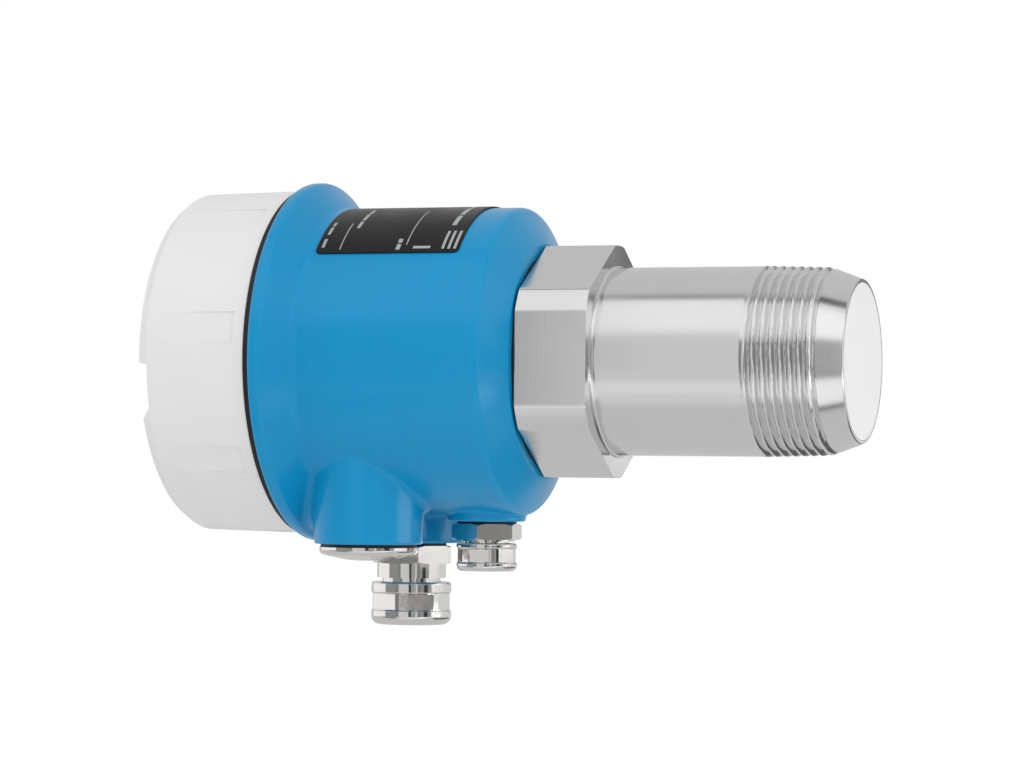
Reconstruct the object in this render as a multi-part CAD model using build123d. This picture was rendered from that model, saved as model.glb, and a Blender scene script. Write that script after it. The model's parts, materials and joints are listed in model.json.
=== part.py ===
from build123d import *
from dataclasses import dataclass
from math import hypot, radians, sin, sqrt, tan
import os

# Every length is in millimetres. X runs along the sensor axis towards the process, and X = 0 is the
# flush front face of the process window. The cable entries point down, along -Z.

# Process connector: hexagon, tube and taper-pipe thread of size 1 1/2
hex_ledge = 3.6
hex_length = 18.5
hex_corner_cut = 2.3
hex_chamfer = 1.2
hex_chamfer_length = 0.6
hex_face_step = 1.0
tube_relief = 0.3
tube_length = 39.1
tube_root_round = 2.5
thread_radius = 23.9
thread_pitch = 2.309
thread_turns = 7
thread_depth = 1.48
thread_half_angle = 27.5
lead_length = 8.1
tip_wall = 0.75
spigot_radius = 22.0
spigot_tail = 4.1
rear_bore_radius = 15.0
rear_bore_length = 6.0
main_bore_radius = 17.6
window_ledge = 2.05
window_seat_depth = 13.4

# Horn antenna and window inside the connector
part_fit = 0.1
horn_back_overhang = 0.5
guide_radius = 4.5
horn_flare_length = 48.0
horn_lip = 1.1
window_nose_length = 41.4
window_nose_radius = 1.5
window_cone_land = 2.0
window_cone_play = 0.3
window_groove_width = 2.8
window_groove_depth = 1.6
window_groove_setback = 6.5
window_seal_round = 0.75

# Sensor seal and lock nut
seal_ring_thickness = 0.8
seal_ring_inset = 0.3
lock_nut_rim = 5.0
lock_nut_length = 5.0
lock_nut_slot_width = 5.0
lock_nut_slot_depth = 2.4

# Cast housing
end_wall = 7.0
shoulder_length = 5.2
shoulder_ledge = 0.25
shoulder_end_round = 0.8
body_radius = 39.3
body_length = 48.7
flange_cone_length = 6.1
flange_overhang = 7.1
flange_rim = 3.3
rim_round = 1.4
flange_root_round = 3.0
crease_round = 2.2
housing_wall = 3.5
cavity_corner_round = 3.0
mouth_step = 1.0
neck_length = 14.4
neck_wall = 3.4
neck_edge_round = 0.6
neck_thread_depth = 0.8
neck_thread_length = 12.0
neck_seat_length = 1.4

# Cable entry bosses
boss_clear_of_flange = 7.4
boss_radius = 13.8
boss_gap = 3.2
boss_draft = 0.05
boss_drop = 7.5
boss_blend = 2.0
boss_edge_round = 0.7
boss_root_z = -17.0
web_half_width = 8.0
web_face_step = 1.2
web_corner_round = 2.0
vent_setback = 15.7
vent_pad_radius = 9.9
vent_drop = 1.5
vent_root_depth = 20.0
vent_pad_round = 0.6
vent_pad_blend = 1.0
thread_play = 0.05

# Cover with grip recesses and spanner notches
gasket_thickness = 1.4
gasket_overhang = 0.4
gasket_play = 0.5
cover_length = 29.8
cover_wall = 3.9
cover_draft = 0.6
cover_end_bevel = 2.8
cover_end_bevel_depth = 2.1
cover_end_round = 0.6
cover_bevel_round = 0.8
cover_lip_round = 0.4
cover_inner_taper = 1.2
cover_inner_round = 2.0
notch_floor_wall = 2.2
cover_thread_play = 0.4
cover_skirt_relief = 0.4
cover_collar = 3.2
grip_count = 8
grip_width_angle = 10.4
grip_first_angle = 9.5
grip_depth = 0.6
notch_count = 4
notch_depth = 3.1
notch_width = 11.2
notch_slope = 4.4
notch_inner_radius = 33.0
notch_first_angle = -9.8

# Name plate
plate_setback = 5.4
plate_clear_of_flange = 2.0
plate_half_angle = 45.0
plate_thickness = 0.35
plate_glue = 0.05
plate_corner = 1.6

# Electronics insert
case_play = 0.8
case_floor_z = -12.0
case_front_overhang = 16.8
case_back_gap = 1.6
case_wall = 1.6
panel_thickness = 2.0
back_plate_thickness = 1.5
lug_reach = 8.8
lug_half_height = 5.0
lug_front_setback = 6.8
lug_length = 34.0
lug_play = 0.8
ear_thickness = 2.0
ear_play = 0.4
case_screw_radius = 1.5
case_screw_length = 10.0
screw_head_radius = 2.8
screw_head_height = 2.0
screw_head_round = 0.5
screw_slot_width = 1.0
board_thickness = 1.6
board_play = 0.4
control_board_gap = 4.0
main_board_gap = 32.4
post_radius = 2.0
pillar_radius = 2.4
post_top_inset = 7.5
post_side_inset = 5.5
post_side_rise = 4.4

# Switches and lamps on the front panel
knob_radius = 3.9
knob_play = 0.3
knob_stand_out = 3.0
knob_offset_y = 14.0
knob_z = 11.0
knob_slot_width = 1.2
knob_slot_depth = 1.6
knob_slot_end = 1.0
knob_edge_round = 0.5
switch_base_side = 10.0
switch_base_height = 3.5
switch_base_chamfer = 0.6
dip_margin = 2.24
dip_height = 7.4
dip_stand_out = 0.5
dip_count = 4
dip_pitch = 2.54
dip_slot_width = 1.5
dip_slot_length = 4.4
dip_slot_depth = 1.6
slider_width = 0.9
slider_length = 2.0
slider_stand_out = 0.8
slider_end_gap = 0.3
lamp_radius = 1.5
lamp_dome_round = 1.2
lamp_play = 0.25
lamp_stand_out = 0.8
lamp_offset_y = 6.0
lamp_inset = 12.5

# Terminal block under the insert's floor, and the earth terminal
terminal_count = 7
terminal_pitch = 5.0
terminal_depth = 12.0
terminal_height = 10.0
terminal_end = 0.6
terminal_hole_radius = 1.85
terminal_screw_radius = 1.7
terminal_screw_sink = 1.0
terminal_screw_length = 7.5
wire_hole_width = 3.2
wire_hole_depth = 6.0
driver_slot_width = 0.7
driver_slot_depth = 0.7
earth_lug_reach = 14.3
earth_lug_drop = 1.0
earth_lug_height = 8.0
earth_lug_length = 14.0
earth_screw_inset = 3.7
earth_screw_radius = 1.75
earth_screw_length = 8.0
earth_plate_thickness = 1.2
earth_plate_margin = 0.6
earth_plate_play = 0.2

# Circuit parts on the main board and the microwave module behind the horn
relay_size = (15.0, 12.8, 23.0)
relay_z = 9.0
relay_edge_round = 0.8
transformer_size = (20.0, 19.0, 23.0)
transformer_z = 4.5
core_overhang = 1.5
core_end = 3.0
capacitor_radius = 4.0
capacitor_length = 17.0
capacitor_edge_round = 0.6
capacitor_heights = (1.8, 11.2)
module_flange_radius = 16.5
module_flange_thickness = 2.5
module_side = 20.6
module_depth = 7.0
module_edge_round = 1.5
module_guide_depth = 2.0
module_board_side = 30.0
module_board_thickness = 1.6
module_board_corner = 3.0
module_screw_wall = 2.1
module_screw_radius = 1.25
module_screw_length = 5.0
module_screw_play = 1.0
module_screw_slot = 0.8
module_screw_head_radius = 2.1
module_screw_head_height = 1.8
link_width = 14.0
link_height = 5.0
link_z = 5.0
link_play = 0.4

# Blind plug
plug_head_inset = 1.3
plug_head_height = 3.4
plug_dome = 1.7
plug_edge_round = 1.3
plug_crown_share = 0.4
plug_crown_round = 28.0
plug_thread_radius = 10.0
plug_thread_reach = 9.0
plug_seal_thickness = 0.8
plug_seal_inset = 0.3
plug_seal_play = 0.3
plug_thread_round = 0.6


# How far one shape runs into the next where the two are joined or cut
overlap = 1.0

# Radii and places across the sensor axis that follow from the sizes above
tube_radius = thread_radius - tube_relief
hex_flats = 2 * (thread_radius + hex_ledge)
hex_corner_radius = hex_flats / sqrt(3) - hex_corner_cut
window_seat_radius = main_bore_radius + window_ledge
tip_radius = window_seat_radius + tip_wall
horn_mouth_radius = main_bore_radius - part_fit - horn_lip
seal_ring_radius = hex_flats / 2 - seal_ring_inset
lock_nut_radius = spigot_radius + lock_nut_rim
shoulder_end_radius = hex_corner_radius + shoulder_ledge
cavity_radius = body_radius - housing_wall
mouth_radius = cavity_radius + mouth_step
neck_radius = mouth_radius + neck_wall
neck_core_radius = neck_radius - neck_thread_depth
flange_radius = body_radius + flange_overhang
cover_bore_radius = neck_radius + cover_thread_play
cover_radius = cover_bore_radius + cover_wall
gasket_radius = cover_radius + gasket_overhang
boss_offset = boss_radius + boss_gap / 2
boss_face_z = -body_radius - boss_drop
vent_face_z = -body_radius - vent_drop
plug_head_radius = boss_radius - plug_head_inset
plug_seal_radius = plug_head_radius - plug_seal_inset
case_radius = cavity_radius - case_play
lug_inner_y = cavity_radius - lug_reach
case_screw_y = (lug_inner_y + cavity_radius) / 2
post_top_z = case_radius - post_top_inset
post_side_y = lug_inner_y - post_side_inset
post_side_z = case_floor_z + post_side_rise
board_side_y = lug_inner_y - lug_play - case_wall - board_play
relay_y = relay_size[1] / 2 - board_side_y
capacitor_y = board_side_y - capacitor_radius
transformer_y = (relay_y + relay_size[1] / 2 + capacitor_y - capacitor_radius) / 2
lamp_z = case_radius - lamp_inset
dip_width = dip_count * dip_pitch + dip_margin
earth_lug_inner_y = cavity_radius - earth_lug_reach
earth_lug_high_z = case_floor_z - earth_lug_drop
earth_lug_low_z = earth_lug_high_z - earth_lug_height
earth_y = earth_lug_inner_y + earth_screw_inset
earth_z = (earth_lug_low_z + earth_lug_high_z) / 2
module_screw_circle = rear_bore_radius - module_screw_wall

# Places along X that follow from the sizes above
thread_end_x = -lead_length
thread_start_x = thread_end_x - thread_pitch * thread_turns
hex_face_x = thread_start_x - tube_length
ring_back_x = hex_face_x - hex_length
housing_end_x = ring_back_x - seal_ring_thickness
end_wall_x = housing_end_x - end_wall
spigot_end_x = end_wall_x - lock_nut_length - spigot_tail
spigot_step_x = spigot_end_x + rear_bore_length
crease_x = housing_end_x - shoulder_length
cylinder_x = crease_x - body_length
flange_back_x = cylinder_x - flange_cone_length
flange_x = flange_back_x - flange_rim
neck_end_x = flange_x - neck_length
cover_open_x = flange_x - gasket_thickness
cover_end_x = cover_open_x - cover_length
boss_x = flange_x + boss_clear_of_flange + boss_radius
vent_x = housing_end_x - vent_setback
lug_front_x = flange_x - lug_front_setback
ear_front_x = lug_front_x - ear_thickness
ledge_x = flange_x - neck_wall
earth_x = ledge_x
panel_x = flange_x - case_front_overhang
panel_inner_x = panel_x + panel_thickness
control_board_x = panel_inner_x + control_board_gap
main_board_x = control_board_x + board_thickness + main_board_gap
horn_back_x = spigot_end_x - horn_back_overhang
module_back_x = horn_back_x - module_flange_thickness - module_depth
module_board_x = module_back_x - module_board_thickness
back_plate_x = module_board_x - case_back_gap - back_plate_thickness
window_seat_x = -window_seat_depth
horn_throat_x = window_seat_x - horn_flare_length
switch_top_x = control_board_x - switch_base_height


def outline(corners):
    """Closed flat face from (a, b) corners, or (a, b, radius) where a corner is rounded by a tangent arc."""
    points = [Vector(corner[0], corner[1]) for corner in corners]
    arcs = []
    for i, corner in enumerate(corners):
        radius = corner[2] if len(corner) > 2 else 0
        back = (points[i - 1] - points[i]).normalized()
        ahead = (points[(i + 1) % len(points)] - points[i]).normalized()
        half = radians(back.get_angle(ahead)) / 2
        reach = radius / tan(half)
        inwards = (back + ahead).normalized() if radius else Vector(0, 0)
        middle = points[i] + inwards * (radius / sin(half) - radius)
        arcs.append((points[i] + back * reach, middle, points[i] + ahead * reach))
    edges = []
    for i, (start, middle, end) in enumerate(arcs):
        if (end - start).length > 0:
            edges.append(ThreePointArc(start, middle, end))
        edges.append(Line(end, arcs[(i + 1) % len(arcs)][0]))
    return make_face(edges)


def turned(corners, arc=360.0):
    """Solid of revolution about X from (x, radius) corners."""
    return revolve(outline(corners), Axis.X, revolution_arc=arc)


def tube(start, end, outer, inner=0.0):
    """Plain ring or rod about X."""
    return turned([(start, inner), (start, outer), (end, outer), (end, inner)])


def block(x, y, z):
    """Box from three (low, high) pairs."""
    size = [high - low for low, high in (x, y, z)]
    centre = [(high + low) / 2 for low, high in (x, y, z)]
    return Pos(*centre) * Box(*size)


def hexagon(flats, start, end, turn=0.0):
    """Six-sided prism along X. With no turn it has a corner towards +Y."""
    face = Plane(origin=(start, 0, 0), x_dir=(0, 1, 0), z_dir=(1, 0, 0)) * RegularPolygon(
        flats / 2, 6, major_radius=False, rotation=turn
    )
    return extrude(face, end - start)


def ring_thread(start, pitch, turns, crest, depth, half_angle):
    """Corners of V grooves cut side by side into a turned outline, from start along +X."""
    half_width = abs(depth) * tan(radians(half_angle))
    corners = []
    for i in range(turns):
        middle = start + (i + 0.5) * pitch
        corners += [(middle - half_width, crest), (middle, crest - depth), (middle + half_width, crest)]
    return corners


def downward(x, y, z):
    """Placement that turns a piece built along +X to point down from (x, y, z)."""
    return Pos(x, y, z) * Rot(0, 90, 0)


def screw(x, y, z, shank, length, head, head_height, slot=screw_slot_width):
    """Pan-head screw along +X with its head's seat at (x, y, z) and a straight driver slot."""
    body = turned([
        (-head_height, 0), (-head_height, head, screw_head_round), (0, head),
        (0, shank), (length, shank), (length, 0),
    ])
    groove = block((-head_height, -head_height / 2), (-head, head), (-slot / 2, slot / 2))
    return Pos(x, y, z) * (body - groove)


def make_connector():
    """Stainless steel process connector, turned from hexagon bar and bored through."""
    chamfer_front = hex_face_x - hex_chamfer_length
    hex_turned = turned([
        (ring_back_x, 0), (ring_back_x, hex_corner_radius), (chamfer_front, hex_corner_radius),
        (hex_face_x, hex_corner_radius - hex_chamfer), (hex_face_x, 0),
    ])
    bar = hexagon(hex_flats, ring_back_x, hex_face_x, turn=30) & hex_turned
    collar_radius = hex_flats / 2 - hex_face_step
    shank = turned(
        [(hex_face_x - overlap, 0), (hex_face_x - overlap, collar_radius), (hex_face_x, collar_radius)]
        + [(hex_face_x, tube_radius, tube_root_round), (thread_start_x, tube_radius)]
        + [(thread_start_x, thread_radius)]
        + ring_thread(thread_start_x, thread_pitch, thread_turns, thread_radius, thread_depth,
                      thread_half_angle)
        + [(thread_end_x, thread_radius), (0, tip_radius), (0, 0)]
    )
    spigot = tube(spigot_end_x, ring_back_x, spigot_radius)
    bore = turned([
        (spigot_end_x, 0), (spigot_end_x, rear_bore_radius), (spigot_step_x, rear_bore_radius),
        (spigot_step_x, main_bore_radius), (window_seat_x, main_bore_radius),
        (window_seat_x, window_seat_radius), (0, window_seat_radius), (0, 0),
    ])
    return bar + shank + spigot - bore


def make_horn():
    """Turned horn antenna: a round guide that opens into a cone towards the window."""
    body = turned([
        (horn_back_x, 0), (horn_back_x, rear_bore_radius - part_fit),
        (spigot_step_x, rear_bore_radius - part_fit), (spigot_step_x, main_bore_radius - part_fit),
        (window_seat_x, main_bore_radius - part_fit), (window_seat_x, 0),
    ])
    throat = turned([
        (horn_back_x, 0), (horn_back_x, guide_radius), (horn_throat_x, guide_radius),
        (window_seat_x, horn_mouth_radius), (window_seat_x, 0),
    ])
    holes = Part() + [
        Rot(90 * i, 0, 0) * Pos(0, module_screw_circle, 0)
        * tube(horn_back_x, horn_back_x + module_screw_length + module_screw_play,
               module_screw_radius + thread_play)
        for i in range(4)
    ]
    return body - throat - holes


def make_window():
    """Process window of white fluoropolymer with a cone that reaches into the horn."""
    radius = window_seat_radius - part_fit
    groove_radius = radius - window_groove_depth
    groove_x = -window_groove_setback
    groove_end_x = groove_x + window_groove_width
    slope = (horn_mouth_radius - guide_radius) / (window_seat_x - horn_throat_x)
    base_radius = horn_mouth_radius - slope * window_cone_land - window_cone_play
    return turned([
        (-window_nose_length, 0), (-window_nose_length, window_nose_radius),
        (window_seat_x - window_cone_land, base_radius), (window_seat_x, base_radius),
        (window_seat_x, radius), (groove_x, radius), (groove_x, groove_radius),
        (groove_end_x, groove_radius), (groove_end_x, radius), (0, radius), (0, 0),
    ])


def make_window_seal():
    """Ring of rubber in the window's groove, as it lies when squeezed."""
    low = window_seat_radius - part_fit - window_groove_depth
    start = -window_groove_setback + part_fit
    end = start + window_groove_width - 2 * part_fit
    corners = [(start, low), (start, window_seat_radius), (end, window_seat_radius), (end, low)]
    return turned([(x, radius, window_seal_round) for x, radius in corners])


def make_lock_nut():
    """Slotted round nut that clamps the connector to the housing's end wall."""
    nut = tube(end_wall_x - lock_nut_length, end_wall_x, lock_nut_radius, spigot_radius + thread_play)
    slots = Part() + [
        Rot(90 * i, 0, 0) * block(
            (end_wall_x - lock_nut_length, end_wall_x),
            (lock_nut_radius - lock_nut_slot_depth, lock_nut_radius + overlap),
            (-lock_nut_slot_width / 2, lock_nut_slot_width / 2),
        )
        for i in range(4)
    ]
    return nut - slots


def entry_boss(x, y, face_z, radius, edge_round, rise):
    """Cast boss that stands out of the cylinder's underside, with draft towards its face."""
    top_radius = radius + rise * boss_draft
    return downward(x, y, face_z) * turned([(-rise, 0), (-rise, top_radius), (0, radius, edge_round), (0, 0)])


def make_boss_pair():
    """The two cable entry bosses, joined by a short web as they are cast."""
    rise = boss_root_z - boss_face_z
    pair = Part() + [
        entry_boss(boss_x, side * boss_offset, boss_face_z, boss_radius, boss_edge_round, rise)
        for side in (-1, 1)
    ]
    pair += block((boss_x - web_half_width, boss_x + web_half_width), (-boss_offset, boss_offset),
                  (boss_face_z + web_face_step, boss_root_z))
    corners = [
        edge for edge in pair.edges()
        if edge.length > web_corner_round and abs(edge.center().Y) < boss_offset - overlap
        and abs(abs(edge.center().X - boss_x) - web_half_width) < overlap
        and abs(edge.start_point().Z - edge.end_point().Z) > overlap
    ]
    return fillet(corners, web_corner_round)


def make_housing():
    """Die-cast housing: flange, cylinder, shoulder, three cable bosses, and the lugs cast inside."""
    shell = turned([
        (flange_x, 0), (flange_x, flange_radius, rim_round), (flange_back_x, flange_radius, rim_round),
        (cylinder_x, body_radius, flange_root_round), (crease_x, body_radius, crease_round),
        (housing_end_x, shoulder_end_radius, shoulder_end_round), (housing_end_x, 0),
    ])
    bosses = make_boss_pair()
    shell = fillet(new_edges(shell, bosses, combined=shell + bosses), boss_blend)
    pad = entry_boss(vent_x, 0, vent_face_z, vent_pad_radius, vent_pad_round, vent_root_depth)
    shell = fillet(new_edges(shell, pad, combined=shell + pad), vent_pad_blend)
    neck = turned([
        (neck_end_x, 0), (neck_end_x, neck_core_radius, neck_edge_round),
        (flange_x - neck_seat_length, neck_core_radius), (flange_x - neck_seat_length, neck_radius),
        (flange_x, neck_radius), (flange_x, 0),
    ])
    cavity = turned([
        (neck_end_x, 0), (neck_end_x, mouth_radius), (ledge_x, mouth_radius), (ledge_x, cavity_radius),
        (end_wall_x, cavity_radius, cavity_corner_round), (end_wall_x, 0),
    ])
    lugs = Part() + [
        block((lug_front_x, lug_front_x + lug_length), sorted((side * lug_inner_y, side * body_radius)),
              (-lug_half_height, lug_half_height))
        for side in (-1, 1)
    ]
    lugs += block((earth_x, earth_x + earth_lug_length), (earth_lug_inner_y, body_radius),
                  (earth_lug_low_z, earth_lug_high_z))
    keep = tube(lug_front_x, end_wall_x, cavity_radius + overlap)
    casting = shell + neck - cavity + (lugs & keep)
    casting -= tube(end_wall_x, housing_end_x, spigot_radius + part_fit)
    entries = (
        (boss_x, -boss_offset, boss_face_z, plug_thread_radius),
        (boss_x, boss_offset, boss_face_z, cable_gland.thread_radius),
        (vent_x, 0, vent_face_z, vent_gland.thread_radius),
    )
    for x, y, face_z, radius in entries:
        depth = -face_z - sqrt(cavity_radius**2 - (abs(y) + radius) ** 2) + overlap
        casting -= downward(x, y, face_z) * tube(-depth, 0, radius + thread_play)
    for side in (-1, 1):
        casting -= Pos(0, side * case_screw_y, 0) * tube(
            lug_front_x, lug_front_x + case_screw_length, case_screw_radius + thread_play)
    casting -= Pos(0, earth_y, earth_z) * tube(
        earth_x, earth_x + earth_screw_length, earth_screw_radius + thread_play)
    return casting


def make_cover():
    """Moulded screw cover with grip recesses round its skirt and four notches in its end rim."""
    end_radius = cover_radius - cover_draft
    relief_radius = cover_bore_radius + cover_skirt_relief
    relief_x = cover_open_x - neck_thread_length
    inner_end_x = cover_end_x + notch_depth + notch_floor_wall
    body = turned([
        (cover_end_x, 0), (cover_end_x, end_radius - cover_end_bevel_depth, cover_end_round),
        (cover_end_x + cover_end_bevel, end_radius, cover_bevel_round),
        (cover_open_x, cover_radius, cover_lip_round), (cover_open_x, 0),
    ])
    hollow = turned([
        (inner_end_x, 0), (inner_end_x, relief_radius - cover_inner_taper, cover_inner_round),
        (relief_x, relief_radius), (relief_x, cover_bore_radius), (cover_open_x, cover_bore_radius),
        (cover_open_x, 0),
    ])
    cover = body - hollow
    half_width = cover_radius * sin(radians(grip_width_angle) / 2)
    grip = block((cover_end_x - overlap, cover_open_x - cover_collar),
                 (cover_radius - grip_depth, cover_radius + overlap), (-half_width, half_width))
    notch = make_notch(end_radius)
    for i in range(grip_count):
        cover -= Rot(180 - grip_first_angle + i * 360 / grip_count, 0, 0) * grip
    for i in range(notch_count):
        cover -= Rot(180 - notch_first_angle + i * 360 / notch_count, 0, 0) * notch
    return cover


def make_notch(end_radius):
    """Cutter for one spanner notch: a straight wall on one side and a sloped wall on the other."""
    half = notch_width / 2
    outer_x = cover_end_x - overlap
    floor_x = cover_end_x + notch_depth
    face = Plane(origin=(0, notch_inner_radius, 0), x_dir=(1, 0, 0), z_dir=(0, 1, 0)) * outline([
        (outer_x, half), (floor_x, half), (floor_x, -half), (outer_x, -half - notch_slope)
    ])
    return extrude(face, end_radius - notch_inner_radius + overlap)


def make_name_plate():
    """Thin curved plate bent round the top of the housing."""
    start = cylinder_x + plate_clear_of_flange
    end = crease_x - plate_setback - plate_clear_of_flange
    seat = body_radius + plate_glue
    bent = turned([
        (start, seat), (start, seat + plate_thickness), (end, seat + plate_thickness), (end, seat),
    ], arc=2 * plate_half_angle)
    corners = bent.edges().filter_by(lambda e: e.length < plate_corner)
    return Rot(90 - plate_half_angle, 0, 0) * fillet(corners, plate_corner)


def case_outline(inset=0.0):
    """Section of the insert: a disc with a flat floor and a pocket at each side for the housing's lug."""
    pockets = Rectangle(3 * case_radius, 2 * (lug_half_height + lug_play + inset))
    pockets -= Rectangle(2 * (lug_inner_y - lug_play - inset), 3 * case_radius)
    below = Pos(0, case_floor_z + inset - case_radius) * Rectangle(3 * case_radius, 2 * case_radius)
    return Circle(case_radius - inset) - below - pockets


def case_slab(start, end, inset=0.0):
    """Plate or core with the insert's section between two places along X."""
    face = Plane(origin=(start, 0, 0), x_dir=(0, 1, 0), z_dir=(1, 0, 0)) * case_outline(inset)
    return extrude(face, end - start)


def post_places():
    """Y and Z of the three posts that carry the boards."""
    return ((0, post_top_z), (-post_side_y, post_side_z), (post_side_y, post_side_z))


def knob_places():
    """Y and Z of the two rotary switches."""
    return ((-knob_offset_y, knob_z), (knob_offset_y, knob_z))


def lamp_places():
    """Y and Z of the two lamps."""
    return ((-lamp_offset_y, lamp_z), (lamp_offset_y, lamp_z))


def make_insert_case():
    """Moulded case of the electronics insert, with its front panel, ears and board posts."""
    case = case_slab(panel_x, back_plate_x) - case_slab(panel_inner_x, back_plate_x, case_wall)
    ear_disc = tube(ear_front_x, lug_front_x, mouth_radius - ear_play)
    for side in (-1, 1):
        inner = side * (lug_inner_y - lug_play - case_wall)
        span = sorted((inner, side * mouth_radius))
        half_height = lug_half_height + lug_play
        ear = block((ear_front_x, lug_front_x), span, (-half_height, half_height))
        case += ear & ear_disc
        case -= Pos(0, side * case_screw_y, 0) * tube(ear_front_x, lug_front_x, case_screw_radius + part_fit)
    for y, z in post_places():
        case += Pos(0, y, z) * tube(panel_inner_x, control_board_x, post_radius)
    for y, z in knob_places():
        case -= Pos(0, y, z) * tube(panel_x, panel_inner_x, knob_radius + knob_play)
    for y, z in lamp_places():
        case -= Pos(0, y, z) * tube(panel_x, panel_inner_x, lamp_radius + lamp_play)
    half_width = dip_width / 2 + knob_play
    half_height = dip_height / 2 + knob_play
    case -= block((panel_x, panel_inner_x), (-half_width, half_width), (-half_height, half_height))
    return case


def make_back_plate():
    """Lid that closes the insert's open back, with a slot for the link plug."""
    slot = block(
        (back_plate_x, back_plate_x + back_plate_thickness),
        (-link_width / 2 - link_play, link_width / 2 + link_play),
        (link_z - link_height / 2 - link_play, link_z + link_height / 2 + link_play),
    )
    return case_slab(back_plate_x, back_plate_x + back_plate_thickness) - slot


def make_case_screws():
    """The two screws that hold the insert to the housing's lugs."""
    return [
        screw(ear_front_x, side * case_screw_y, 0, case_screw_radius,
              case_screw_length, screw_head_radius, screw_head_height)
        for side in (-1, 1)
    ]


def make_board(start):
    """Circuit board with the insert's inner section."""
    return case_slab(start, start + board_thickness, case_wall + board_play)


def make_pillars():
    """Three spacers between the two boards."""
    start = control_board_x + board_thickness
    return [Pos(0, y, z) * tube(start, main_board_x, pillar_radius) for y, z in post_places()]


def make_knob(place):
    """Rotary switch knob with a driver slot and a pointer flat."""
    start = panel_x - knob_stand_out
    knob = turned([
        (start, 0), (start, knob_radius, knob_edge_round), (switch_top_x, knob_radius), (switch_top_x, 0)
    ])
    knob -= block((start, start + knob_slot_depth), (-knob_slot_width / 2, knob_slot_width / 2),
                  (-knob_radius + knob_slot_end, knob_radius))
    return Pos(0, *place) * knob


def make_switch_bases():
    """Bodies of the two rotary switches on the control board."""
    half = switch_base_side / 2
    base = block((switch_top_x, control_board_x), (-half, half), (-half, half))
    base = chamfer(base.edges().filter_by(Axis.X), switch_base_chamfer)
    return [Pos(0, *place) * base for place in knob_places()]


def slider_place(i):
    """Y of one of the small sliding switches."""
    return (i - (dip_count - 1) / 2) * dip_pitch


def make_dip_base():
    """Body of the row of sliding switches, with a slot for each slider."""
    top = panel_x - dip_stand_out
    base = block((top, control_board_x), (-dip_width / 2, dip_width / 2), (-dip_height / 2, dip_height / 2))
    for i in range(dip_count):
        y = slider_place(i)
        base -= block((top, top + dip_slot_depth), (y - dip_slot_width / 2, y + dip_slot_width / 2),
                      (-dip_slot_length / 2, dip_slot_length / 2))
    return base


def make_slider(i):
    """One sliding switch, at the lower end of its slot."""
    top = panel_x - dip_stand_out
    y = slider_place(i)
    low = -dip_slot_length / 2 + slider_end_gap
    return block((top - slider_stand_out, top + dip_slot_depth), (y - slider_width / 2, y + slider_width / 2),
                 (low, low + slider_length))


def make_lamp(place):
    """Signal lamp with a domed end that looks through the panel."""
    start = panel_x - lamp_stand_out
    return Pos(0, *place) * turned([
        (start, 0), (start, lamp_radius, lamp_dome_round),
        (control_board_x, lamp_radius), (control_board_x, 0),
    ])


def terminal_place(i):
    """Y of one pole of the terminal block."""
    return (i - (terminal_count - 1) / 2) * terminal_pitch


def make_terminal_block():
    """Moulded terminal block with a screw well and a wire hole for each pole."""
    half = terminal_count * terminal_pitch / 2 + terminal_end
    low_z = case_floor_z - terminal_height
    middle_z = case_floor_z - terminal_height / 2
    body = block((panel_x, panel_x + terminal_depth), (-half, half), (low_z, case_floor_z))
    for i in range(terminal_count):
        y = terminal_place(i)
        body -= Pos(0, y, middle_z) * tube(panel_x, panel_x + terminal_screw_sink + terminal_screw_length,
                                           terminal_hole_radius)
        wire_x = panel_x + terminal_screw_sink + terminal_screw_length - wire_hole_width
        body -= block((wire_x, wire_x + wire_hole_width),
                      (y - wire_hole_width / 2, y + wire_hole_width / 2),
                      (low_z, low_z + wire_hole_depth - terminal_screw_radius))
    return body


def make_terminal_screws():
    """One clamping screw for each pole."""
    start = panel_x + terminal_screw_sink
    middle_z = case_floor_z - terminal_height / 2
    body = tube(start, start + terminal_screw_length, terminal_screw_radius)
    body -= block((start, start + driver_slot_depth), (-terminal_screw_radius, terminal_screw_radius),
                  (-driver_slot_width / 2, driver_slot_width / 2))
    return [Pos(0, terminal_place(i), middle_z) * body for i in range(terminal_count)]


def make_earth_plate():
    """Square clamp plate of the earth terminal."""
    half = (earth_lug_high_z - earth_lug_low_z) / 2 - earth_plate_margin
    plate = block((-earth_plate_thickness, 0), (-half, half), (-half, half))
    hole = tube(-earth_plate_thickness, 0, earth_screw_radius + earth_plate_play)
    return Pos(earth_x, earth_y, earth_z) * (plate - hole)


def make_earth_screw():
    """Screw of the earth terminal."""
    return screw(earth_x - earth_plate_thickness, earth_y, earth_z, earth_screw_radius,
                 earth_screw_length, screw_head_radius, screw_head_height)


def on_main_board(size, place):
    """Box on the main board's front side, from (height, width, depth) and its place in Y and Z."""
    return block((main_board_x - size[0], main_board_x), (place[0] - size[1] / 2, place[0] + size[1] / 2),
                 (place[1] - size[2] / 2, place[1] + size[2] / 2))


def make_relay():
    """Relay with rounded upright edges."""
    relay = on_main_board(relay_size, (relay_y, relay_z))
    return fillet(relay.edges().filter_by(Axis.X), relay_edge_round)


def make_transformer():
    """Transformer: a laminated core round a wound bobbin."""
    height, width, depth = transformer_size
    place = (transformer_y, transformer_z)
    core = on_main_board((height, width, depth - 2 * core_end), place)
    bobbin = on_main_board((height - core_end, width - 2 * core_overhang, depth), place)
    return core + bobbin


def make_capacitors():
    """Two upright capacitors."""
    can = turned([
        (main_board_x - capacitor_length, 0),
        (main_board_x - capacitor_length, capacitor_radius, capacitor_edge_round),
        (main_board_x, capacitor_radius), (main_board_x, 0),
    ])
    return [Pos(0, capacitor_y, height) * can for height in capacitor_heights]


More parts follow.
